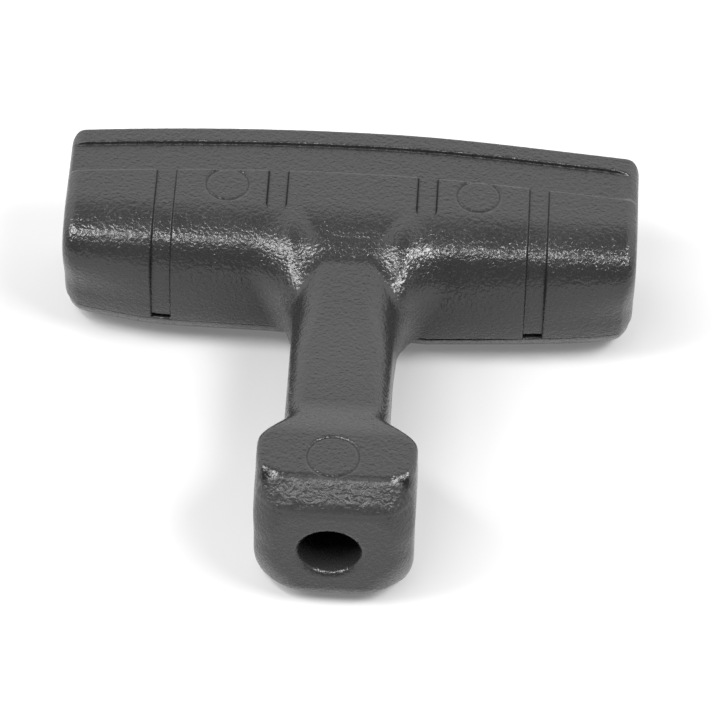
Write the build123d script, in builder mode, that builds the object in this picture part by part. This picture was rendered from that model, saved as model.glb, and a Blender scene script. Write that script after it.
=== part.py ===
from build123d import *
import os

# Radiator bleed key: a moulded T-shaped grip in two shells, a steel drive
# shank with a square socket, and the pin and screws that hold it together.
# Millimetres. Origin: centre of the footprint, on the surface it lies on.
# +X along the grip bar, +Y from the key mouth to the bar, +Z up.

# ---- driving dimensions -------------------------------------------------
bar_len = 70.0          # length of the grip bar, along X
total_len = 60.0        # mouth face to back of the bar, along Y
thick = 20.0            # thickness of bar and block, along Z
zc = thick / 2          # height of the drive axis

y_mouth = -total_len / 2
y_back = total_len / 2
bow = 1.9               # the back edge is this much further forward at the ends
end_round = 1.5         # rounding of the bar's ends, top and bottom

seam_z = 6.2            # seam between grip body and base cover
seam_gap = 0.05
cover_inset = 0.25      # the cover stands this much inside the body's outline

block_w = 19.2          # square block round the mouth
block_dx = 0.4          # the block stands this much to the right of the drive axis
block_cham = 3.2        # 45 degree chamfer over and under the mouth face
block_side_r = 2.8      # rounding of the upright front edges
block_full = -22.2      # full width from the mouth back to here
block_l = block_dx - block_w / 2
block_r = block_dx + block_w / 2
stem_w = 12.6
stem_z = 18.1           # top of the stem at its root

mouth_r = 3.65          # round mouth in front of the square socket
mouth_depth = 7.5
mouth_round = 0.8

lip_y = 27.6            # front edge of the raised band along the back
pad_y = 22.9            # back edge of the grip pads
band_bow = 1.55         # both lines bow like the back edge
relief = 0.4            # depth of the sunken band and of the grooves
long_x = 22.87          # long grooves, over the front of the bar
short_x = 9.17          # short grooves beside the stem
groove_w = 2.4
mark_x, mark_y, mark_r = 15.4, 19.8, 2.5    # round marks over the screw bosses
bmark_y, bmark_r = -23.2, 3.1
mark_depth = 0.15

shank_r = 4.5
bore_r = 4.56
shank_y0 = y_mouth + mouth_depth
shank_y1 = 22.0
socket_af = 5.1         # square socket, across flats
socket_depth = 12.0
pin_r, pin_len, pin_y = 1.5, 24.0, 17.0
screw_x, screw_y = 15.4, 19.9
screw_r, pilot_r, clear_r = 1.42, 1.45, 1.7
screw_top = 15.0
head_r, head_h, head_seat = 2.8, 2.0, 2.6    # pan head, sunk in the cover
seat_r = 3.1

os.makedirs("parts", exist_ok=True)

# ---- outer forms --------------------------------------------------------
with BuildPart(mode=Mode.PRIVATE) as bar_form:
    with BuildSketch(Plane.YZ) as bar_section:
        with BuildLine():
            Line((29.4, 20.0), (17.2, 20.0))
            t2 = TangentArc((17.2, 20.0), (12.3, 18.9), tangent=(-1, 0))
            t3 = TangentArc((12.3, 18.9), (9.75, 15.8), tangent=t2 % 1)
            t4 = TangentArc((9.75, 15.8), (8.45, 9.8), tangent=t3 % 1)
            t5 = TangentArc((18.0, 0.0), (12.7, 1.2), tangent=(-1, 0))
            t6 = TangentArc((12.7, 1.2), (10.1, 4.0), tangent=t5 % 1)
            t7 = TangentArc((10.1, 4.0), (8.45, 9.8), tangent=t6 % 1)
            Line((18.0, 0.0), (29.0, 0.0))
            RadiusArc((29.0, 0.0), (30.0, 1.0), -1.0)
            Line((30.0, 1.0), (30.0, 19.4))
            RadiusArc((30.0, 19.4), (29.4, 20.0), -0.6)
        make_face()
    extrude(amount=bar_len / 2, both=True)
    with BuildSketch(Plane.XY.offset(-1)) as bar_plan:
        with BuildLine():
            ThreePointArc((-35.0, y_back - bow), (0, y_back), (35.0, y_back - bow))
            Line((35.0, y_back - bow), (35.0, 11.6))
            ThreePointArc((35.0, 11.6), (27.5, 9.2), (18.0, 8.3))
            Line((18.0, 8.3), (-18.0, 8.3))
            ThreePointArc((-18.0, 8.3), (-27.5, 9.2), (-35.0, 11.6))
            Line((-35.0, 11.6), (-35.0, y_back - bow))
        make_face()
        fillet(bar_plan.vertices().group_by(Axis.Y)[-1], 1.6)
        fillet(bar_plan.vertices().group_by(Axis.Y)[0], 3.0)
    extrude(amount=thick + 2, mode=Mode.INTERSECT)
    # rounded ends, seen from the front
    with BuildSketch(Plane.XZ.offset(-40)) as bar_front:
        with Locations((0, zc)):
            RectangleRounded(bar_len, thick, end_round)
    extrude(amount=40, mode=Mode.INTERSECT)

# everything deeper than `relief` under the bar's surface
with BuildPart(mode=Mode.PRIVATE) as bar_core:
    with BuildSketch(Plane.YZ):
        add(bar_section.sketch_local)
        offset(amount=-relief)
    extrude(amount=bar_len, both=True)

# the cover's outer form, standing in from the body's outline
with BuildPart(mode=Mode.PRIVATE) as cover_form:
    with BuildSketch(Plane.YZ) as cover_section:
        with BuildLine():
            Line((9.35, seam_z + 1), (9.35, seam_z))
            c1 = TangentArc((18.0, 0.0), (12.9, 1.3), tangent=(-1, 0))
            c2 = TangentArc((12.9, 1.3), (10.3, 4.0), tangent=c1 % 1)
            Line((10.3, 4.0), (9.35, seam_z))
            Line((18.0, 0.0), (28.6, 0.0))
            RadiusArc((28.6, 0.0), (29.75, 1.15), -1.15)
            Line((29.75, 1.15), (29.75, seam_z + 1))
            Line((29.75, seam_z + 1), (9.35, seam_z + 1))
        make_face()
    extrude(amount=bar_len / 2, both=True)
    with BuildSketch(Plane.XY.offset(-1)):
        add(bar_plan.sketch_local)
        offset(amount=-cover_inset)
    extrude(amount=seam_z - seam_gap + 1, mode=Mode.INTERSECT)
    with BuildSketch(Plane.XZ.offset(-40)):
        add(bar_front.sketch_local)
        offset(amount=-cover_inset)
        with Locations((0, 5)):
            Rectangle(bar_len - 2 * cover_inset - 2 * end_round, 10)
    extrude(amount=40, mode=Mode.INTERSECT)

with BuildPart(mode=Mode.PRIVATE) as stem_form:
    with BuildSketch(Plane.XY) as stem_plan:
        with BuildLine():
            Spline((stem_w / 2, -13.6), (7.0, -16.4), (9.3, -20.0), (block_r, block_full),
                   tangents=((0, -1), (0.15, -1)))
            Line((block_r, block_full), (block_r, y_mouth))
            Line((block_r, y_mouth), (block_l, y_mouth))
            Line((block_l, y_mouth), (block_l, block_full))
            Spline((block_l, block_full), (-8.6, -20.0), (-6.8, -16.4), (-stem_w / 2, -13.6),
                   tangents=((0.15, 1), (0, 1)))
            Line((-stem_w / 2, -13.6), (-stem_w / 2, 2.0))
            ThreePointArc((-stem_w / 2, 2.0), (-8.05, 6.25), (-12.3, 8.0))
            Line((-12.3, 8.0), (-12.3, 12.0))
            Line((-12.3, 12.0), (12.3, 12.0))
            Line((12.3, 12.0), (12.3, 8.0))
            ThreePointArc((12.3, 8.0), (8.05, 6.25), (stem_w / 2, 2.0))
            Line((stem_w / 2, 2.0), (stem_w / 2, -13.6))
        make_face()
        fillet(stem_plan.vertices().group_by(Axis.Y)[0], block_side_r)
    extrude(amount=thick)
    # side profile: the stem is lower than block and bar, above and below
    with BuildSketch(Plane.YZ):
        with BuildLine():
            Spline((-19.3, thick), (-16.0, 19.2), (-11.0, 18.6), (2.0, stem_z), (8.5, 18.4), (12.0, 18.7),
                   tangents=((1, -0.15), (1, 0.1)))
            Line((12.0, 18.7), (12.0, 1.3))
            Spline((12.0, 1.3), (8.5, 1.6), (2.0, thick - stem_z), (-11.0, 1.4), (-16.0, 0.8), (-19.3, 0.0),
                   tangents=((-1, 0.1), (-1, -0.15)))
            Line((-19.3, 0.0), (y_mouth + block_cham, 0.0))
            Line((y_mouth + block_cham, 0.0), (y_mouth, block_cham))
            Line((y_mouth, block_cham), (y_mouth, thick - block_cham))
            Line((y_mouth, thick - block_cham), (y_mouth + block_cham, thick))
            Line((y_mouth + block_cham, thick), (-19.3, thick))
        make_face()
    extrude(amount=14, both=True, mode=Mode.INTERSECT)

# ---- 1. grip body: bar above the seam, stem and block --------------------
with BuildPart() as grip_body:
    add(bar_form.part)
    # the bar stops at the seam
    with BuildSketch(Plane.XY.offset(-1)):
        with Locations((0, 20)):
            Rectangle(80, 40)
    extrude(amount=seam_z + 1, mode=Mode.SUBTRACT)
    add(stem_form.part)
    # no stem under the bar, where the cover is
    with BuildSketch(Plane.XY.offset(-1)):
        with Locations((0, 20)):
            Rectangle(80, 2 * (20 - 8.6))
    extrude(amount=seam_z + 1, mode=Mode.SUBTRACT)
    # sunken band between raised lip and pads
    with BuildPart(mode=Mode.PRIVATE) as band_tool:
        with BuildSketch(Plane.XY.offset(14)) as band:
            with BuildLine():
                ThreePointArc((-34.1, lip_y - band_bow), (0, lip_y), (33.9, lip_y - band_bow))
                Line((33.9, lip_y - band_bow), (33.9, pad_y - band_bow))
                ThreePointArc((33.9, pad_y - band_bow), (0, pad_y), (-34.1, pad_y - band_bow))
                Line((-34.1, pad_y - band_bow), (-34.1, lip_y - band_bow))
            make_face()
            fillet(band.vertices(), 0.8)
        extrude(amount=8)
        add(bar_core.part, mode=Mode.SUBTRACT)
    add(band_tool.part, mode=Mode.SUBTRACT)
    # grooves: two long ones over the front of the bar, two short ones
    with BuildPart(mode=Mode.PRIVATE) as long_tool:
        with BuildSketch(Plane.XY.offset(seam_z + 0.9)):
            with Locations((-long_x, 15), (long_x, 15)):
                Rectangle(groove_w, 16)
        extrude(amount=15)
        add(bar_core.part, mode=Mode.SUBTRACT)
    add(long_tool.part, mode=Mode.SUBTRACT)
    with BuildPart(mode=Mode.PRIVATE) as short_tool:
        with BuildSketch(Plane.XY.offset(14)):
            with Locations((-short_x, 20.6), (short_x, 20.6)):
                SlotOverall(7.4, groove_w, rotation=90)
        extrude(amount=8)
        add(bar_core.part, mode=Mode.SUBTRACT)
    add(short_tool.part, mode=Mode.SUBTRACT)
    # round marks in the top
    with BuildSketch(Plane.XY.offset(thick - mark_depth)):
        with Locations((-mark_x, mark_y), (mark_x, mark_y)):
            Circle(mark_r)
    extrude(amount=1, mode=Mode.SUBTRACT)
    with BuildSketch(Plane.XY.offset(thick - mark_depth)):
        with Locations((0, bmark_y)):
            Circle(bmark_r)
    extrude(amount=1, mode=Mode.SUBTRACT)
    # round mouth, with a rounded edge
    with BuildSketch(Plane.XZ.offset(-y_mouth)):
        with Locations((0, zc)):
            Circle(mouth_r)
    extrude(amount=-(mouth_depth + 0.5), mode=Mode.SUBTRACT)
    rim = grip_body.edges().filter_by(GeomType.CIRCLE).sort_by(Axis.Y)[0]
    fillet(rim, mouth_round)
    # seat of the shank, open from below so that it can be laid in
    with BuildSketch(Plane.XZ.offset(-shank_y0)):
        with Locations((0, zc)):
            Circle(bore_r)
    extrude(amount=-(shank_y1 - shank_y0 + 0.2), mode=Mode.SUBTRACT)
    with BuildSketch(Plane.XY.offset(-1)):
        with Locations((0, (shank_y0 + shank_y1 + 0.2) / 2)):
            Rectangle(2 * bore_r, shank_y1 + 0.2 - shank_y0)
    extrude(amount=zc + 1, mode=Mode.SUBTRACT)
    # pocket for the cover's front hook
    with BuildSketch(Plane.XY.offset(2.1)):
        with Locations((0, shank_y0 - 1.0)):
            Rectangle(6.2, 2.4)
    extrude(amount=2.2, mode=Mode.SUBTRACT)
    # seat of the cross pin
    with BuildSketch(Plane.YZ.offset(-pin_len / 2 - 0.1)):
        with Locations((pin_y, zc)):
            Circle(pin_r + 0.05)
        with Locations((pin_y, (zc + seam_z - 1) / 2)):
            Rectangle(2 * pin_r + 0.1, zc - seam_z + 1)
    extrude(amount=pin_len + 0.2, mode=Mode.SUBTRACT)
    # screw pilots
    with BuildSketch(Plane.XY.offset(seam_z - 1)):
        with Locations((-screw_x, screw_y), (screw_x, screw_y)):
            Circle(pilot_r)
    extrude(amount=screw_top + 1.0 - seam_z + 1, mode=Mode.SUBTRACT)
    # cored pockets
    with BuildSketch(Plane.XY.offset(seam_z - 1)) as pockets:
        with Locations((-28.6, 19.2), (28.6, 19.2), (-21.9, 19.2), (21.9, 19.2)):
            RectangleRounded(5.0, 13.0, 0.8)
    extrude(amount=17.0 - seam_z + 1, mode=Mode.SUBTRACT)

# ---- 2. base cover: bottom of the bar, and a tongue along the stem -------
with BuildPart() as base_cover:
    add(cover_form.part)
    with BuildPart(mode=Mode.PRIVATE) as tongue:
        add(stem_form.part)
        with BuildSketch(Plane.XY.offset(-1)):
            with Locations((0, (shank_y0 + 0.1 + 12) / 2)):
                Rectangle(2 * (bore_r - 0.1), 12 - shank_y0 - 0.1)
        extrude(amount=8.0, mode=Mode.INTERSECT)
    add(tongue.part)
    # saddle ribs that close the shank's seat inside the bar
    with BuildSketch(Plane.XY.offset(5.0)):
        with Locations((0, (11 + shank_y1) / 2)):
            Rectangle(2 * (bore_r - 0.1), shank_y1 - 11)
    extrude(amount=2.0)
    # posts under the cross pin
    with BuildSketch(Plane.XY.offset(5.0)):
        with Locations((-8.5, pin_y), (8.5, pin_y)):
            Rectangle(5.0, 2 * pin_r - 0.1)
    extrude(amount=zc - pin_r - 0.06 - 5.0)
    # front hook
    with BuildSketch(Plane.XY.offset(2.2)):
        with Locations((0, shank_y0 - 0.4)):
            Rectangle(6.0, 3.2)
    extrude(amount=2.0)
    # the shank lies in the saddle
    with BuildSketch(Plane.XZ.offset(-shank_y0)):
        with Locations((0, zc)):
            Circle(bore_r)
    extrude(amount=-(shank_y1 - shank_y0 + 0.2), mode=Mode.SUBTRACT)
    # screw holes with sunk seats
    with Locations(Plane.XY.rotated((180, 0, 0))):
        with Locations((-screw_x, -screw_y), (screw_x, -screw_y)):
            CounterBoreHole(clear_r, seat_r, head_seat)
    # cored pockets, continuing those of the body
    with BuildSketch(Plane.XY.offset(2.2)):
        with Locations((-28.6, 19.2), (28.6, 19.2), (-21.9, 19.2), (21.9, 19.2)):
            RectangleRounded(5.0, 13.0, 0.8)
    extrude(amount=seam_z, mode=Mode.SUBTRACT)

# ---- 3. drive shank: round steel bar with a square socket ----------------
with BuildPart() as drive_shank:
    with BuildSketch(Plane.XZ.offset(-shank_y0 - 0.02)):
        with Locations((0, zc)):
            Circle(shank_r)
    extrude(amount=-(shank_y1 - shank_y0 - 0.02))
    chamfer(drive_shank.edges().filter_by(GeomType.CIRCLE).sort_by(Axis.Y)[-1], 0.8)
    with BuildSketch(Plane.XZ.offset(-shank_y0 + 0.02)):
        with Locations((0, zc)):
            Rectangle(socket_af, socket_af)
    extrude(amount=-socket_depth - 0.04, mode=Mode.SUBTRACT)
    mouth_edges = drive_shank.faces().sort_by(Axis.Y)[0].inner_wires()[0].edges()
    chamfer(mouth_edges, 0.35)
    # cross hole for the pin
    with BuildSketch(Plane.YZ.offset(-shank_r - 1)):
        with Locations((pin_y, zc)):
            Circle(pin_r + 0.02)
    extrude(amount=2 * shank_r + 2, mode=Mode.SUBTRACT)

# ---- 4. cross pin: carries the turning force into the grip ---------------
with BuildPart() as cross_pin:
    with BuildSketch(Plane.YZ.offset(-pin_len / 2)):
        with Locations((pin_y, zc)):
            Circle(pin_r)
    extrude(amount=pin_len)
    chamfer(cross_pin.edges().filter_by(GeomType.CIRCLE), 0.3)

# ---- 5. cover screws: two alike ------------------------------------------
with BuildPart() as cover_screws:
    with BuildSketch(Plane.XY.offset(head_seat)):
        with Locations((-screw_x, screw_y), (screw_x, screw_y)):
            Circle(screw_r)
    extrude(amount=screw_top - head_seat)
    chamfer(cover_screws.edges().filter_by(GeomType.CIRCLE).group_by(Axis.Z)[-1], 0.6)
    with BuildSketch(Plane.XY.offset(head_seat - head_h)):
        with Locations((-screw_x, screw_y), (screw_x, screw_y)):
            Circle(head_r)
    extrude(amount=head_h)
    fillet(cover_screws.edges().filter_by(GeomType.CIRCLE).group_by(Axis.Z)[0], 0.7)
    # cross recess
    with BuildSketch(Plane.XY.offset(head_seat - head_h - 0.1)):
        with Locations((-screw_x, screw_y), (screw_x, screw_y)):
            Rectangle(2.8, 0.7)
            Rectangle(0.7, 2.8)
    extrude(amount=1.3, mode=Mode.SUBTRACT)

grip_body.part.label = "grip_body"
export_step(grip_body.part, "parts/grip_body.step")
base_cover.part.label = "base_cover"
export_step(base_cover.part, "parts/base_cover.step")
drive_shank.part.label = "drive_shank"
export_step(drive_shank.part, "parts/drive_shank.step")
cross_pin.part.label = "cross_pin"
export_step(cross_pin.part, "parts/cross_pin.step")
cover_screws.part.label = "cover_screws"
export_step(cover_screws.part, "parts/cover_screws.step")
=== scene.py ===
import math
import bpy
import numpy as np
from mathutils import Matrix, Vector


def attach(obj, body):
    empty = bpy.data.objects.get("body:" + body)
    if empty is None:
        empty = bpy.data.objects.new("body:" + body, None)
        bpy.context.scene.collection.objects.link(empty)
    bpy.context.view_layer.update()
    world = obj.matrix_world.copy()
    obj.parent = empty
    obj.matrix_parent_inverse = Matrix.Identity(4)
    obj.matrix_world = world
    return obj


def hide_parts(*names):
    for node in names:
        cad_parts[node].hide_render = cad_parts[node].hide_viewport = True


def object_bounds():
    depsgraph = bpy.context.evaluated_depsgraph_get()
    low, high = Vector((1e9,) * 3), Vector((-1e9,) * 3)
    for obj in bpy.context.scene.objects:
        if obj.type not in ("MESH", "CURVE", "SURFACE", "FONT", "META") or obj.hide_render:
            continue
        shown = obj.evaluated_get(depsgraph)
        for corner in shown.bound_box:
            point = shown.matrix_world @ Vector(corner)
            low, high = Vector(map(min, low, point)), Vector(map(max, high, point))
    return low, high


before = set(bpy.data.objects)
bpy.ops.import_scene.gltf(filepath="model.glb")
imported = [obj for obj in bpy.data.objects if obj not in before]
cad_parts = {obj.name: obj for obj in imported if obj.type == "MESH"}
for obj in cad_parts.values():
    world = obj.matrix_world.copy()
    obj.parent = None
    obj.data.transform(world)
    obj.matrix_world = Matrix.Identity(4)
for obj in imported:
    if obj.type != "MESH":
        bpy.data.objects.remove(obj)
cad_lo, cad_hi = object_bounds()
MM = 0.001

# ----------------------------------------------------------------------------
# camera: a long lens from the front, above, and a little to the right
# ----------------------------------------------------------------------------
PSI, ELEV, ROLL = math.radians(-1.822), math.radians(47.78), math.radians(1.527)
DIST, FOCAL = 0.6533, 5375.0
TARGET = Vector((0.00202, 0.00186, 0.00907))
d = Vector((-math.sin(PSI) * math.cos(ELEV), -math.cos(PSI) * math.cos(ELEV), math.sin(ELEV)))
r = Vector((math.cos(PSI), -math.sin(PSI), 0.0))
u = Vector((math.sin(PSI) * math.sin(ELEV), math.cos(PSI) * math.sin(ELEV), math.cos(ELEV)))
r2 = r * math.cos(ROLL) + u * math.sin(ROLL)
u2 = -r * math.sin(ROLL) + u * math.cos(ROLL)
cam_data = bpy.data.cameras.new("camera")
cam_data.sensor_width = 36.0
cam_data.lens = FOCAL / 720.0 * 36.0
cam_data.clip_start, cam_data.clip_end = 0.01, 20.0
cam = bpy.data.objects.new("camera", cam_data)
bpy.context.scene.collection.objects.link(cam)
cam.matrix_world = Matrix((
    (r2.x, u2.x, d.x, TARGET.x + DIST * d.x),
    (r2.y, u2.y, d.y, TARGET.y + DIST * d.y),
    (r2.z, u2.z, d.z, TARGET.z + DIST * d.z),
    (0, 0, 0, 1)))
bpy.context.scene.camera = cam

# ----------------------------------------------------------------------------
# the grip's surface as a distance field, in millimetres
# ----------------------------------------------------------------------------
def smooth(a, b, t):
    s = np.clip((t - a) / (b - a), 0.0, 1.0)
    return s * s * (3.0 - 2.0 * s)


def and_round(a, b, rad):
    """both a and b, with a rounded edge of radius rad"""
    return np.minimum(-rad, np.maximum(a, b)) + np.hypot(np.maximum(rad + a, 0), np.maximum(rad + b, 0))


def or_round(a, b, rad):
    """either a or b, with a hollow fillet of radius rad"""
    return np.maximum(rad, np.minimum(a, b)) - np.hypot(np.maximum(rad - a, 0), np.maximum(rad - b, 0))


def hermite(nodes, n=14):
    out = []
    for (p0, t0), (p1, t1) in zip(nodes[:-1], nodes[1:]):
        p0, p1, t0, t1 = map(np.array, (p0, p1, t0, t1))
        c = np.linalg.norm(p1 - p0)
        t0, t1 = t0 / np.linalg.norm(t0) * c, t1 / np.linalg.norm(t1) * c
        for i in range(n):
            s = i / n
            out.append(p0 * (2 * s**3 - 3 * s**2 + 1) + t0 * (s**3 - 2 * s**2 + s)
                       + p1 * (-2 * s**3 + 3 * s**2) + t1 * (s**3 - s**2))
    out.append(np.array(nodes[-1][0], float))
    return np.array(out)


def front_dir(theta):
    """tangent, going forward and down, where the normal is theta above level"""
    t = math.radians(theta)
    return (-math.sin(t), -math.cos(t))


class Section:
    """Signed distance to a closed outline in (y, z), from a fine table."""

    def __init__(self, outline, step=0.1):
        self.y0, self.z0, self.h = 4.0, -4.0, step
        ys = np.arange(self.y0, 35.0, step)
        zs = np.arange(self.z0, 24.0, step)
        gy, gz = np.meshgrid(ys, zs, indexing="ij")
        p = np.stack([gy.ravel(), gz.ravel()], 1)
        a = np.asarray(outline, float)
        b = np.roll(a, -1, 0)
        dist = np.full(len(p), 1e9)
        inside = np.zeros(len(p), bool)
        for (ay, az), (by, bz) in zip(a, b):
            ey, ez = by - ay, bz - az
            l2 = ey * ey + ez * ez
            if l2 < 1e-12:
                continue
            t = np.clip(((p[:, 0] - ay) * ey + (p[:, 1] - az) * ez) / l2, 0, 1)
            dist = np.minimum(dist, (p[:, 0] - ay - t * ey) ** 2 + (p[:, 1] - az - t * ez) ** 2)
            cross = (az > p[:, 1]) != (bz > p[:, 1])
            if abs(ez) > 1e-12:
                inside ^= cross & (p[:, 0] < ay + (p[:, 1] - az) * ey / ez)
        self.t = np.where(inside, -np.sqrt(dist), np.sqrt(dist)).reshape(gy.shape)

    def __call__(self, y, z):
        fy = np.clip((y - self.y0) / self.h, 0, self.t.shape[0] - 1.001)
        fz = np.clip((z - self.z0) / self.h, 0, self.t.shape[1] - 1.001)
        iy, iz = fy.astype(np.int32), fz.astype(np.int32)
        wy, wz = fy - iy, fz - iz
        t = self.t
        return ((t[iy, iz] * (1 - wz) + t[iy, iz + 1] * wz) * (1 - wy)
                + (t[iy + 1, iz] * (1 - wz) + t[iy + 1, iz + 1] * wz) * wy)


ZC = 10.0
bar_nodes = [
    ((29.7, 19.98), (-1, 0.015)),
    ((17.4, 20.0), (-1, 0.0)),
    ((12.3, 18.92), front_dir(63)),
    ((9.75, 15.9), front_dir(27)),
    ((8.45, 9.8), (0, -1)),
    ((8.95, 5.8), front_dir(-14)),
    ((10.3, 3.4), front_dir(-38)),
    ((12.9, 1.05), front_dir(-64)),
    ((18.0, 0.0), (1, 0)),
]
front = hermite(bar_nodes)
corner_top = [(30.0 - 0.3 + 0.3 * math.sin(a), 19.68 + 0.3 * math.cos(a)) for a in np.linspace(1.5, 0.1, 8)]
corner_low = [(30.0 - 1.2 + 1.2 * math.sin(a), 1.2 - 1.2 * math.cos(a)) for a in np.linspace(0.0, 1.5, 8)]
bar_sd = Section(list(map(tuple, front)) + corner_low + corner_top)

LIP_Y, PAD_Y, SUNK = 27.55, 22.9, 0.46
MOUTH_R, MOUTH_ROUND = 3.64, 0.8


# how far the lower front falls back along the bar
FALL_X = [-35, -34.6, -33.3, -32, -30.7, -28.2, -25.7, -23.2, -20.7, -10, 0, 10, 16.5, 21.4, 26.4, 30.1, 32.5, 33.7, 34.6, 35]
FALL_Y = [3.6, 3.2, 2.6, 2.2, 1.95, 1.45, 1.0, 0.75, 0.62, 0.5, 0.1, -0.45, 0.0, 0.35, 0.8, 1.25, 1.75, 2.2, 2.9, 3.3]


def back_line(x, edge):
    """bowed lines along the top: a little lower at the right-hand end"""
    return edge - 0.00155 * x * x - 0.45 * smooth(4.0, 29.0, x)


def grip_bar(x, y, z):
    ax = np.abs(x)
    lag = (0.0016 * x * x + 0.5 * smooth(4.0, 29.0, x)) * smooth(14.0, 26.0, y)
    fall = np.interp(x, FALL_X, FALL_Y)
    yb = y + lag - fall * (1 - smooth(9.0, 17.5, z)) * (1 - smooth(13.0, 22.0, y))
    f = bar_sd(yb, z)
    low = 1 - smooth(2.0, 12.0, z)
    rad = 1.6 + 0.5 * low * (1 - smooth(14.0, 26.0, y))
    return and_round(f, ax - 35.0, rad)


def block_centre(y):
    return -0.05 + 0.45 * (1 - smooth(-21.0, -14.0, y))


def half_profile(y):
    """half width and half height of stem and block along y"""
    w = 6.17 + 3.43 * (1 - smooth(-21.6, -15.0, y)) + 0.3 * smooth(0.5, 9.0, y)
    h = 8.1 + 0.5 * (1 - smooth(-14.0, 2.0, y)) + 1.4 * (1 - smooth(-20.2, -13.5, y))
    return w, h


def stem_block(x, y, z):
    ax, az = np.abs(x - block_centre(y)), np.abs(z - ZC)
    w, h = half_profile(y)
    rad = 0.9 + 1.7 * smooth(-21.5, -14.0, y) + 1.6 * smooth(-5.0, 5.0, y) * (z > ZC)
    qx, qz = ax - w + rad, az - h + rad
    f = np.hypot(np.maximum(qx, 0), np.maximum(qz, 0)) + np.minimum(np.maximum(qx, qz), 0) - rad
    # mouth face with its rounded upright edges, chamfers over and under, cut corners
    face = -(y + 30.0)
    up_r = 3.1
    px, py = ax - (9.6 - up_r), -(y + 30.0 - up_r)
    upright = np.hypot(np.maximum(px, 0), np.maximum(py, 0)) + np.minimum(np.maximum(px, py), 0) - up_r
    cham = 0.766 * (az - 10.0) - 0.643 * (y + 26.8)
    corner = 0.616 * ax - 0.624 * y + 0.479 * az - np.where(z > ZC, 26.1, 25.45)
    front = and_round(upright, cham, 1.0)
    front = and_round(front, corner, 1.6)
    f = and_round(f, front, 0.5)
    return and_round(f, y - 13.0, 2.0)


def box(c, half, v, wall):
    return smooth(-wall, wall, half - np.abs(v - c))


def relief(x, y, z):
    """how deep the front and top are sunk: grooves and round marks"""
    ax = np.abs(x)
    pads = back_line(x, PAD_Y) - y
    before = smooth(-0.5, -0.2, pads)
    up = smooth(14.0, 16.0, z)
    wall = 0.14
    long_g = box(22.87, 1.19, ax, wall) * smooth(6.2, 6.6, z) * before
    deep = SUNK * long_g
    notch = box(22.87, 1.15, ax, wall) * (1 - smooth(6.7, 6.95, z)) * (1 - smooth(13.0, 14.0, y))
    deep = np.maximum(deep, 0.7 * notch)
    dx, dy = np.abs(ax - 9.17), y - 16.0
    cap = np.where(dy < 1.2, np.hypot(dx, dy - 1.2), dx)
    short_g = smooth(-wall, wall, 1.2 - cap) * before * up
    deep = np.maximum(deep, SUNK * short_g)
    # round marks: a fine ring groove with the disc a trace lower
    for cx, cy, rad in ((0.0, -23.5, 3.07), (-15.35, 19.93, 2.62), (15.4, 19.87, 2.62)):
        m = np.hypot(x - cx, y - cy)
        ring = np.exp(-((m - rad) / 0.14) ** 2)
        disc = smooth(-0.12, 0.12, rad - m)
        deep = np.maximum(deep, (0.06 * disc + 0.13 * ring) * up)
    return deep


def band(x, y, z):
    """space over the sunken band between the pads and the raised lip"""
    yp, yl = back_line(x, PAD_Y), back_line(x, LIP_Y)
    # the lip's wall ends short of the right-hand end, curling forward
    yl = yl - 0.5 * smooth(31.2, 33.9, x) ** 2
    step = smooth(-0.1, 0.1, y - yp) * (1 - smooth(-0.1, 0.1, y - yl))
    end = 1 - smooth(32.0, 34.6, x)
    return 20.0 - SUNK * step * end - z


def whole(x, y, z):
    # a wide hollow beside the stem, a tight one across its top
    beside = smooth(2.5, 7.5, np.abs(x))
    rad = 2.9 + 3.7 * smooth(5.0, 16.5, z)
    rad = rad - (rad - 1.6) * (1 - beside) * smooth(13.0, 16.0, z)
    return or_round(grip_bar(x, y, z), stem_block(x, y, z), rad)


def creases(x, y, z):
    """shade in the corners of the grooves, and the catch of light on the pads' edge"""
    ax = np.abs(x)
    up = smooth(14.0, 16.0, z)
    yp, yl = back_line(x, PAD_Y), back_line(x, LIP_Y) - 0.5 * smooth(31.2, 33.9, x) ** 2
    before = 1 - smooth(0.0, 0.4, y - yp)
    wave = 0.75 + 0.25 * np.sin(7.3 * x) * np.sin(2.9 * x + 1.0)
    dark = 0.62 * wave * np.exp(-((y - yl + 0.1) / 0.24) ** 2) * up * (1 - smooth(33.3, 33.9, x))
    side = np.abs(np.abs(ax - 22.87) - 1.19)
    dark = np.maximum(dark, 0.55 * np.exp(-(side / 0.17) ** 2) * before * smooth(6.2, 6.5, z))
    dx, dy = np.abs(ax - 9.17), y - 16.0
    cap = np.where(dy < 1.2, np.hypot(dx, dy - 1.2), dx)
    tip = 1 - smooth(0.3, 1.1, dy)
    dark = np.maximum(dark, (0.85 - 0.3 * tip) * np.exp(-((cap - 1.2 - 0.12 * tip) / 0.18) ** 2) * before * up)
    for cx, cy, rad in ((0.0, -23.5, 3.07), (-15.35, 19.93, 2.62), (15.4, 19.87, 2.62)):
        m = np.hypot(x - cx, y - cy)
        dark = np.maximum(dark, 0.55 * np.exp(-((m - rad) / 0.15) ** 2) * up)
    # the cut corners of the block get painted shade and less specular
    corner = smooth(7.2, 8.2, np.abs(x - 0.4)) * (1 - smooth(-26.2, -25.0, y)) * smooth(18.0, 18.8, z)
    dark = np.maximum(dark, 0.6 * corner)
    inside = np.minimum(np.abs(ax - 22.87), dx) < 1.25
    light = np.where(inside, 0.0, 0.8) * np.exp(-((y - yp) / 0.14) ** 2) * up
    return dark, light


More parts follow.
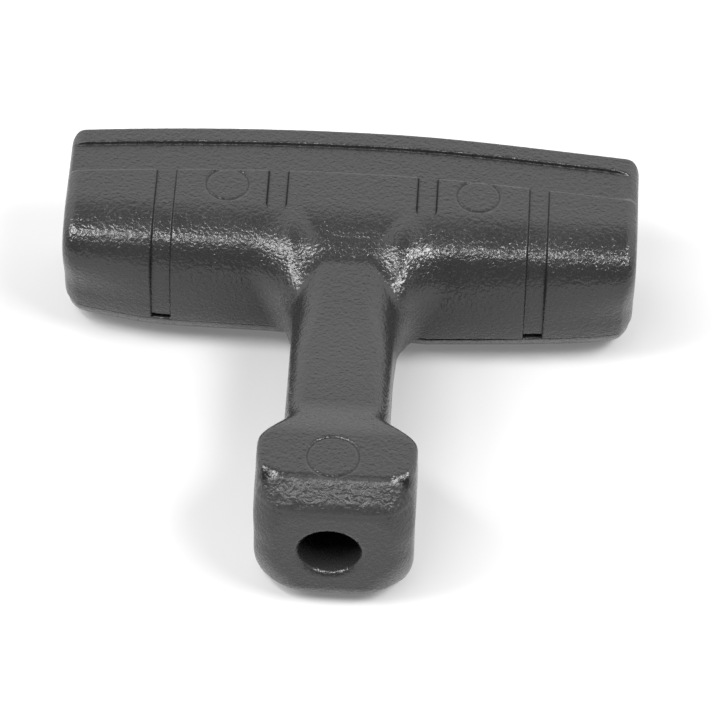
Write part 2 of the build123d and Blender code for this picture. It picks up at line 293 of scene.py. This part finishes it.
def bore(x, y, z):
    """the shank's seat and the round mouth, as space"""
    rr = np.hypot(x, z - ZC)
    # round mouth with a rounded rim
    t = np.clip(-(y + 30.0) + MOUTH_ROUND, 0, MOUTH_ROUND)
    flare = MOUTH_ROUND - np.sqrt(MOUTH_ROUND ** 2 - t ** 2)
    mouth = np.maximum(rr - MOUTH_R - flare, y + 22.0)
    seat = np.maximum(rr - 4.56, np.maximum(-(y + 22.5), y - 22.2))
    slot = np.maximum(np.maximum(np.abs(x) - 4.56, z - ZC), np.maximum(-(y + 22.5), y - 22.2))
    return mouth, seat, slot


def body_field(x, y, z):
    f = whole(x, y, z) + relief(x, y, z)
    f = np.maximum(f, -band(x, y, z))
    # stops at the seam in the bar, and in front of the cover
    f = and_round(f, np.minimum(6.2 - z, y - 8.55), 0.25)
    mouth, seat, slot = bore(x, y, z)
    f = np.maximum(f, -mouth)
    f = np.maximum(f, -np.minimum(seat, slot))
    return f


def cover_field(x, y, z):
    bar = grip_bar(x, y, z) + 0.27
    # a shadow line under the body's edge, widest to the right of the stem
    line = 0.14 + 0.34 * smooth(-2.0, 7.5, x) * (1 - smooth(11.0, 31.0, x)) * (1 - smooth(13.0, 18.0, y))
    f = and_round(bar, z - 6.2 + line, 0.15)
    f = np.minimum(f, np.maximum(bar + 0.75, z - 6.15))
    f = np.maximum(f, 8.66 - y)
    # floor stays level with the body's
    stem = np.maximum(stem_block(x, y, z), np.maximum(np.abs(x) - 4.46, z - 6.9))
    stem = np.maximum(stem, np.maximum(-(y + 22.4), y - 12.0))
    f = np.minimum(f, stem)
    rr = np.hypot(x, z - ZC)
    f = np.maximum(f, -np.maximum(rr - 4.56, y - 22.2))
    m = np.hypot(np.abs(x) - 15.4, y - 19.9)
    f = np.maximum(f, -np.maximum(m - 3.1, z - 2.6))
    f = np.maximum(f, -(m - 1.7))
    return f


def surface(field, lo, hi, h):
    """Surface of field < 0 as quads: one vertex a cell, moved onto the surface."""
    lo, hi = np.array(lo, float), np.array(hi, float)
    n = np.ceil((hi - lo) / h).astype(int) + 1
    ax = [lo[i] + h * np.arange(n[i]) for i in range(3)]
    # a coarse pass finds where the surface is
    c = 6
    nc = [int(math.ceil((n[i] - 1) / c)) + 1 for i in range(3)]
    cx = [lo[i] + h * c * np.arange(nc[i]) for i in range(3)]
    gx, gy, gz = np.meshgrid(*cx, indexing="ij")
    coarse = field(gx, gy, gz).astype(np.float32)
    near = np.abs(coarse) < h * c * 1.9
    big = np.kron(coarse, np.ones((c, c, c), np.float32))
    # each coarse node stands for the cells round it
    off = c // 2
    big = big[off:off + n[0], off:off + n[1], off:off + n[2]]
    mask = np.kron(near, np.ones((c, c, c), bool))[off:off + n[0], off:off + n[1], off:off + n[2]]
    pad = [(0, n[i] - big.shape[i]) for i in range(3)]
    if any(p[1] > 0 for p in pad):
        big = np.pad(big, pad, constant_values=9.0)
        mask = np.pad(mask, pad, constant_values=True)
    f = big.copy()
    idx = np.argwhere(mask)
    step = 1_500_000
    for i in range(0, len(idx), step):
        j = idx[i:i + step]
        f[j[:, 0], j[:, 1], j[:, 2]] = field(ax[0][j[:, 0]], ax[1][j[:, 1]], ax[2][j[:, 2]])
    s = f < 0
    any_in = np.zeros(tuple(np.array(s.shape) - 1), bool)
    all_in = np.ones_like(any_in)
    for i in (0, 1):
        for j in (0, 1):
            for k in (0, 1):
                v = s[i:s.shape[0] - 1 + i, j:s.shape[1] - 1 + j, k:s.shape[2] - 1 + k]
                any_in |= v
                all_in &= v
    cells = np.argwhere(any_in & ~all_in)
    index = np.full(any_in.shape, -1, np.int32)
    index[cells[:, 0], cells[:, 1], cells[:, 2]] = np.arange(len(cells))
    # mean of the crossings on each cell's edges
    total = np.zeros((len(cells), 3))
    count = np.zeros(len(cells))
    corners = [(i, j, k) for i in (0, 1) for j in (0, 1) for k in (0, 1)]
    val = {q: f[cells[:, 0] + q[0], cells[:, 1] + q[1], cells[:, 2] + q[2]] for q in corners}
    for q in corners:
        for a in range(3):
            if q[a] == 0:
                w = list(q); w[a] = 1; w = tuple(w)
                v0, v1 = val[q], val[w]
                hit = (v0 < 0) != (v1 < 0)
                t = np.where(hit, v0 / np.where(hit, v0 - v1, 1), 0)
                p = np.array(q, float)[None, :].repeat(len(cells), 0)
                p[:, a] += t
                total[hit] += p[hit]
                count[hit] += 1
    v = (cells + total / count[:, None]) * h + lo
    faces = []
    for a in range(3):
        b, c2 = (a + 1) % 3, (a + 2) % 3
        s0 = [slice(None)] * 3; s1 = [slice(None)] * 3
        s0[a] = slice(0, -1); s1[a] = slice(1, None)
        cross = s[tuple(s0)] != s[tuple(s1)]
        e = np.argwhere(cross)
        ok = (e[:, b] > 0) & (e[:, c2] > 0) & (e[:, b] < n[b] - 1) & (e[:, c2] < n[c2] - 1)
        e = e[ok]
        inside = s[e[:, 0], e[:, 1], e[:, 2]]
        quad = []
        for db, dc in ((-1, -1), (0, -1), (0, 0), (-1, 0)):
            q = e.copy(); q[:, b] += db; q[:, c2] += dc
            quad.append(index[q[:, 0], q[:, 1], q[:, 2]])
        quad = np.stack(quad, 1)
        quad[~inside] = quad[~inside][:, ::-1]
        faces.append(quad)
    faces = np.concatenate(faces)
    # move the vertices onto the surface along the gradient
    eps = 0.02
    for _ in range(3):
        f0 = field(v[:, 0], v[:, 1], v[:, 2])
        g = np.stack([field(v[:, 0] + eps * (i == 0), v[:, 1] + eps * (i == 1), v[:, 2] + eps * (i == 2)) - f0
                      for i in range(3)], 1) / eps
        g2 = np.maximum((g ** 2).sum(1), 0.25)
        move = -(f0 / g2)[:, None] * g
        length = np.linalg.norm(move, axis=1)
        v += move * np.minimum(1, 0.5 * h / np.maximum(length, 1e-9))[:, None]
    return v, faces


def make_mesh(name, v, faces):
    v = np.clip(v, (-35.0, -30.0, 0.0), (35.0, 30.0, 20.0))
    me = bpy.data.meshes.new(name)
    me.vertices.add(len(v))
    me.vertices.foreach_set("co", (v * MM).astype(np.float32).ravel())
    me.loops.add(faces.size)
    me.loops.foreach_set("vertex_index", faces.astype(np.int32).ravel())
    me.polygons.add(len(faces))
    me.polygons.foreach_set("loop_start", np.arange(0, faces.size, 4, dtype=np.int32))
    me.update(calc_edges=True)
    me.validate()
    me.polygons.foreach_set("use_smooth", np.ones(len(me.polygons), bool))
    ob = bpy.data.objects.new(name, me)
    bpy.context.scene.collection.objects.link(ob)
    return ob


v, fcs = surface(body_field, (-36, -31, -1), (36, 31, 21.2), 0.17)
grip = make_mesh("grip_body_skin", v, fcs)
for key, val in zip(("dark", "light"), creases(v[:, 0], v[:, 1], v[:, 2])):
    at = grip.data.attributes.new(key, "FLOAT", "POINT")
    at.data.foreach_set("value", val.astype(np.float32))
v, fcs = surface(cover_field, (-36, -24, -1), (36, 31, 8.2), 0.22)
cover = make_mesh("base_cover_skin", v, fcs)
print("grip verts", len(grip.data.vertices), "cover", len(cover.data.vertices))


# ----------------------------------------------------------------------------
# materials
# ----------------------------------------------------------------------------
GRAIN, GRAIN_DEPTH, ROUGH = 2250.0, 0.000092, 0.25


def new_material(name):
    m = bpy.data.materials.new(name)
    m.use_nodes = True
    m.node_tree.nodes.clear()
    return m, m.node_tree.nodes, m.node_tree.links


def node(n, kind, **sockets):
    x = n.new(kind)
    for k, v in sockets.items():
        x.inputs[k.replace("_", " ")].default_value = v
    return x


def math_node(n, l, op, a, b=None):
    x = n.new("ShaderNodeMath")
    x.operation = op
    for i, v in enumerate((a, b)):
        if v is None:
            continue
        if isinstance(v, (int, float)):
            x.inputs[i].default_value = v
        else:
            l.new(v, x.inputs[i])
    return x.outputs[0]


def ramp(n, l, value, a, b, lo=0.0, hi=1.0):
    x = n.new("ShaderNodeMapRange")
    x.interpolation_type = "SMOOTHSTEP"
    x.inputs["From Min"].default_value = a
    x.inputs["From Max"].default_value = b
    x.inputs["To Min"].default_value = lo
    x.inputs["To Max"].default_value = hi
    l.new(value, x.inputs["Value"])
    return x.outputs["Result"]


def moulded_plastic(name, base):
    """dark moulded plastic with a pebbled grain, coarser on the mouth's chamfer"""
    m, n, l = new_material(name)
    out = n.new("ShaderNodeOutputMaterial")
    bsdf = n.new("ShaderNodeBsdfPrincipled")
    l.new(bsdf.outputs[0], out.inputs[0])
    bsdf.inputs["IOR"].default_value = 1.5
    tc = n.new("ShaderNodeTexCoord")
    co = tc.outputs["Object"]
    xyz = n.new("ShaderNodeSeparateXYZ")
    l.new(co, xyz.inputs[0])
    # grain: wandering pebbles of about half a millimetre, and a finer tooth
    big = node(n, "ShaderNodeTexNoise", Scale=GRAIN, Detail=1.2, Roughness=0.45, Distortion=0.7)
    l.new(co, big.inputs["Vector"])
    cell = node(n, "ShaderNodeTexVoronoi", Scale=GRAIN * 0.95)
    cell.feature = "SMOOTH_F1"
    cell.inputs["Smoothness"].default_value = 0.6
    l.new(co, cell.inputs["Vector"])
    fine = node(n, "ShaderNodeTexNoise", Scale=5200.0, Detail=1.0)
    l.new(co, fine.inputs["Vector"])
    coarse = node(n, "ShaderNodeTexNoise", Scale=760.0, Detail=2.5, Roughness=0.6, Distortion=1.4)
    l.new(co, coarse.inputs["Vector"])
    patch = node(n, "ShaderNodeTexNoise", Scale=140.0, Detail=3.0)
    l.new(co, patch.inputs["Vector"])
    # where the mouth's chamfer is
    cham = math_node(n, l, "MULTIPLY", ramp(n, l, xyz.outputs[1], -0.0264, -0.0270),
                     ramp(n, l, xyz.outputs[2], 0.0166, 0.0172))
    height = math_node(n, l, "ADD", math_node(n, l, "MULTIPLY", big.outputs["Fac"], 1.0),
                       math_node(n, l, "MULTIPLY", cell.outputs["Distance"], 0.35))
    height = math_node(n, l, "ADD", height, math_node(n, l, "MULTIPLY", fine.outputs["Fac"], 0.08))
    rough_h = math_node(n, l, "MULTIPLY", math_node(n, l, "MULTIPLY", coarse.outputs["Fac"], cham), 2.4)
    height = math_node(n, l, "ADD", height, rough_h)
    bump = node(n, "ShaderNodeBump", Strength=1.0, Distance=GRAIN_DEPTH)
    l.new(height, bump.inputs["Height"])
    l.new(bump.outputs[0], bsdf.inputs["Normal"])
    rough = math_node(n, l, "ADD", ramp(n, l, fine.outputs["Fac"], 0.3, 0.7, ROUGH - 0.03, ROUGH + 0.05),
                      ramp(n, l, patch.outputs["Fac"], 0.35, 0.65, -0.02, 0.03))
    col = n.new("ShaderNodeMix")
    col.data_type = "RGBA"
    col.inputs[6].default_value = (*[c * 0.86 for c in base], 1)
    col.inputs[7].default_value = (*[c * 1.14 for c in base], 1)
    tone = math_node(n, l, "ADD", math_node(n, l, "MULTIPLY", big.outputs["Fac"], 0.6),
                     math_node(n, l, "MULTIPLY", patch.outputs["Fac"], 0.4))
    l.new(tone, col.inputs[0])
    # slightly paler colour on the sharp convex edges
    geo = n.new("ShaderNodeNewGeometry")
    edge_pale = ramp(n, l, geo.outputs["Pointiness"], 0.53, 0.60, 0.0, 0.35)
    edge_paled = n.new("ShaderNodeMix")
    edge_paled.data_type = "RGBA"
    edge_paled.inputs[7].default_value = (*[c * 1.7 for c in base], 1)
    l.new(edge_pale, edge_paled.inputs[0])
    l.new(col.outputs[2], edge_paled.inputs[6])
    # painted shade in the concave corners of the grooves, rougher there too
    crevice_shade = ramp(n, l, geo.outputs["Pointiness"], 0.475, 0.42, 0.0, 0.8)
    crevice_shaded = n.new("ShaderNodeMix")
    crevice_shaded.data_type = "RGBA"
    crevice_shaded.inputs[7].default_value = (0.006, 0.006, 0.006, 1)
    l.new(crevice_shade, crevice_shaded.inputs[0])
    l.new(edge_paled.outputs[2], crevice_shaded.inputs[6])
    # painted shade from the dark attribute and a painted highlight from the light attribute, mixed into the base
    # colour
    dark, light = n.new("ShaderNodeAttribute"), n.new("ShaderNodeAttribute")
    dark.attribute_name, light.attribute_name = "dark", "light"
    shade = n.new("ShaderNodeMix")
    shade.data_type = "RGBA"
    shade.inputs[7].default_value = (0.004, 0.004, 0.004, 1)
    l.new(dark.outputs["Fac"], shade.inputs[0])
    l.new(crevice_shaded.outputs[2], shade.inputs[6])
    pale = n.new("ShaderNodeMix")
    pale.data_type = "RGBA"
    pale.inputs[7].default_value = (*[c * 5.0 for c in base], 1)
    l.new(light.outputs["Fac"], pale.inputs[0])
    l.new(shade.outputs[2], pale.inputs[6])
    l.new(pale.outputs[2], bsdf.inputs["Base Color"])
    l.new(ramp(n, l, dark.outputs["Fac"], 0.1, 1.0, 0.5, 0.06), bsdf.inputs["Specular IOR Level"])
    rough = math_node(n, l, "ADD", rough, math_node(n, l, "MULTIPLY", cham, 0.17))
    l.new(math_node(n, l, "ADD", rough, math_node(n, l, "MULTIPLY", crevice_shade, 0.5)), bsdf.inputs["Roughness"])
    return m


def steel(name, base, rough):
    m, n, l = new_material(name)
    out = n.new("ShaderNodeOutputMaterial")
    bsdf = n.new("ShaderNodeBsdfPrincipled")
    l.new(bsdf.outputs[0], out.inputs[0])
    bsdf.inputs["Metallic"].default_value = 1.0
    tc = n.new("ShaderNodeTexCoord")
    noi = n.new("ShaderNodeTexNoise")
    noi.inputs["Scale"].default_value = 900.0
    l.new(tc.outputs["Object"], noi.inputs["Vector"])
    mr = n.new("ShaderNodeMapRange")
    mr.inputs["To Min"].default_value = rough * 0.8
    mr.inputs["To Max"].default_value = rough * 1.2
    l.new(noi.outputs["Fac"], mr.inputs["Value"])
    l.new(mr.outputs[0], bsdf.inputs["Roughness"])
    col = n.new("ShaderNodeMix"); col.data_type = "RGBA"
    col.inputs[6].default_value = (*[c * 0.85 for c in base], 1)
    col.inputs[7].default_value = (*base, 1)
    l.new(noi.outputs["Fac"], col.inputs[0])
    l.new(col.outputs[2], bsdf.inputs["Base Color"])
    return m


plastic = moulded_plastic("moulded_plastic", (0.0185, 0.0185, 0.0187))
for ob, node, slot in ((grip, "grip_body", "grip_plastic"), (cover, "base_cover", "cover_plastic")):
    ob.data.materials.append(plastic)
    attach(ob, "root")
    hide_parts(node)
for node, mat in (("drive_shank", steel("shank_steel", (0.30, 0.29, 0.28), 0.4)),
                  ("cross_pin", steel("pin_steel", (0.5, 0.5, 0.5), 0.25)),
                  ("cover_screws", steel("screw_zinc", (0.6, 0.6, 0.6), 0.3))):
    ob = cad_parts[node]
    ob.data.materials.clear()
    ob.data.materials.append(mat)

# ----------------------------------------------------------------------------
# floor and light
# ----------------------------------------------------------------------------
WALL, DIM, KEY_L, SIDE_L = 1.45, 0.09, 29.0, 22.0
me = bpy.data.meshes.new("floor")
me.from_pydata([(-3, -3, 0), (3, -3, 0), (3, 3, 0), (-3, 3, 0)], [], [(0, 1, 2, 3)])
floor = bpy.data.objects.new("floor", me)
floor.location.z = cad_lo.z - 0.00002
bpy.context.scene.collection.objects.link(floor)
fm, n, l = new_material("floor")
out = n.new("ShaderNodeOutputMaterial"); b = n.new("ShaderNodeBsdfPrincipled")
l.new(b.outputs[0], out.inputs[0])
dust = n.new("ShaderNodeTexNoise")
dust.inputs["Scale"].default_value = 6.0
fl = n.new("ShaderNodeMapRange")
fl.inputs["To Min"].default_value = 0.43
fl.inputs["To Max"].default_value = 0.45
l.new(dust.outputs["Fac"], fl.inputs["Value"])
l.new(fl.outputs[0], b.inputs["Base Color"])
b.inputs["Roughness"].default_value = 0.8
b.inputs["Specular IOR Level"].default_value = 0.2
b.inputs["Emission Color"].default_value = (1, 1, 1, 1)
b.inputs["Emission Strength"].default_value = 0.18
floor.data.materials.append(fm)

# studio walls: bright behind and at the sides, dim overhead and in front
world = bpy.data.worlds.new("studio")
bpy.context.scene.world = world
world.use_nodes = True
n, l = world.node_tree.nodes, world.node_tree.links
bg = n["Background"]
bg.inputs[0].default_value = (1.0, 1.0, 1.0, 1)
tc = n.new("ShaderNodeTexCoord")
xyz = n.new("ShaderNodeSeparateXYZ")
l.new(tc.outputs["Generated"], xyz.inputs[0])
back = ramp(n, l, xyz.outputs[1], -0.45, 0.15)
cap = ramp(n, l, xyz.outputs[2], 0.80, 0.92, 1.0, 0.0)
level = math_node(n, l, "ADD", math_node(n, l, "MULTIPLY", math_node(n, l, "MULTIPLY", back, cap), WALL), DIM)
l.new(level, bg.inputs[1])


def area(name, loc, target, size, radiance, size_y=None):
    ld = bpy.data.lights.new(name, "AREA")
    ld.shape = "RECTANGLE"
    ld.size, ld.size_y = size, size_y or size
    ld.energy = radiance * math.pi * ld.size * ld.size_y
    o = bpy.data.objects.new(name, ld)
    bpy.context.scene.collection.objects.link(o)
    o.location = loc
    o.rotation_mode = "QUATERNION"
    o.rotation_quaternion = (Vector(target) - Vector(loc)).to_track_quat("-Z", "Y")
    return o


area("key", (-0.20, -0.25, 0.64), (0, 0, 0.01), 0.44, KEY_L, 0.09)
area("side_l", (-0.45, -0.20, 0.52), (0, 0, 0.01), 0.20, SIDE_L, 0.20)
area("side_r", (0.34, -0.20, 0.58), (0, 0, 0.01), 0.28, SIDE_L * 1.2, 0.20)
bpy.context.scene.view_settings.view_transform = "Standard"

bpy.context.view_layer.update()
